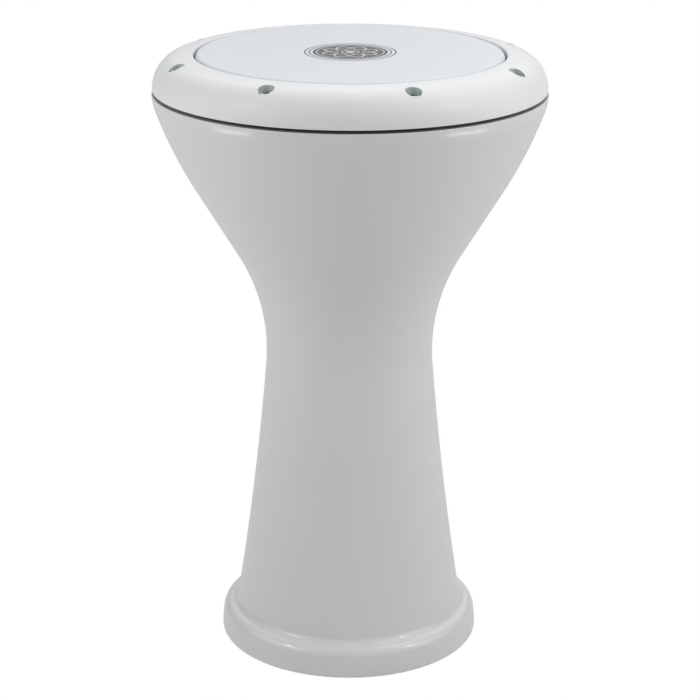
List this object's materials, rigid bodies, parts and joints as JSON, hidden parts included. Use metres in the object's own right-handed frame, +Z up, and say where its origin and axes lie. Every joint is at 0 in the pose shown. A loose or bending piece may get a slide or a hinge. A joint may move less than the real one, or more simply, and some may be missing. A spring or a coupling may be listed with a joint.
{
  "type": "goblet drum",
  "caption": "Goblet-shaped hand drum with a flared stem, a wide bowl and a thick screw-down ring that tightens its plastic film head.",
  "frame": {"origin": "centre of the foot's underside, on the surface that the drum stands on", "axes": "+Z runs up the drum's axis from the foot to the head; the tension screws start at an equal angle on each side of +X"},
  "size_m": [0.2824, 0.2824, 0.4466],
  "materials": {
    "shell_paint": "gloss",
    "ring_paint": "satin",
    "head_film": "satin",
    "hoop_metal": "satin",
    "hoop_resin": "matte",
    "steel": "satin"
  },
  "bodies": {
    "shell": {"shell": "shell_paint", "head_film": "head_film"},
    "rim": {"tuning_ring": "ring_paint", "head_hoop": "hoop_metal", "hoop_resin": "hoop_resin", "screw_washers": "steel"},
    "screw_1": {"tension_screw_1": "steel"},
    "screw_2": {"tension_screw_2": "steel"},
    "screw_3": {"tension_screw_3": "steel"},
    "screw_4": {"tension_screw_4": "steel"},
    "screw_5": {"tension_screw_5": "steel"},
    "screw_6": {"tension_screw_6": "steel"},
    "screw_7": {"tension_screw_7": "steel"},
    "screw_8": {"tension_screw_8": "steel"}
  },
  "joints": [
    {"name": "ring_travel", "type": "slide", "parent": "shell", "child": "rim", "axis": [0, 0, 1], "range_m": [-0.001, 0.002], "deforming": ["head_film"]},
    {"name": "screw_1_turn", "type": "hinge", "parent": "rim", "child": "screw_1", "pos_m": [0.11715, 0.04852, 0.43495], "axis": [0, 0, 1], "range_deg": [-360, 720]},
    {"name": "screw_2_turn", "type": "hinge", "parent": "rim", "child": "screw_2", "pos_m": [0.04852, 0.11715, 0.43495], "axis": [0, 0, 1], "range_deg": [-360, 720]},
    {"name": "screw_3_turn", "type": "hinge", "parent": "rim", "child": "screw_3", "pos_m": [-0.04852, 0.11715, 0.43495], "axis": [0, 0, 1], "range_deg": [-360, 720]},
    {"name": "screw_4_turn", "type": "hinge", "parent": "rim", "child": "screw_4", "pos_m": [-0.11715, 0.04852, 0.43495], "axis": [0, 0, 1], "range_deg": [-360, 720]},
    {"name": "screw_5_turn", "type": "hinge", "parent": "rim", "child": "screw_5", "pos_m": [-0.11715, -0.04852, 0.43495], "axis": [0, 0, 1], "range_deg": [-360, 720]},
    {"name": "screw_6_turn", "type": "hinge", "parent": "rim", "child": "screw_6", "pos_m": [-0.04852, -0.11715, 0.43495], "axis": [0, 0, 1], "range_deg": [-360, 720]},
    {"name": "screw_7_turn", "type": "hinge", "parent": "rim", "child": "screw_7", "pos_m": [0.04852, -0.11715, 0.43495], "axis": [0, 0, 1], "range_deg": [-360, 720]},
    {"name": "screw_8_turn", "type": "hinge", "parent": "rim", "child": "screw_8", "pos_m": [0.11715, -0.04852, 0.43495], "axis": [0, 0, 1], "range_deg": [-360, 720]}
  ],
  "couplings": [
    {"joint": "screw_1_turn", "follows": "ring_travel", "rad_per_m": 6283.2},
    {"joint": "screw_2_turn", "follows": "ring_travel", "rad_per_m": 6283.2},
    {"joint": "screw_3_turn", "follows": "ring_travel", "rad_per_m": 6283.2},
    {"joint": "screw_4_turn", "follows": "ring_travel", "rad_per_m": 6283.2},
    {"joint": "screw_5_turn", "follows": "ring_travel", "rad_per_m": 6283.2},
    {"joint": "screw_6_turn", "follows": "ring_travel", "rad_per_m": 6283.2},
    {"joint": "screw_7_turn", "follows": "ring_travel", "rad_per_m": 6283.2},
    {"joint": "screw_8_turn", "follows": "ring_travel", "rad_per_m": 6283.2}
  ]
}
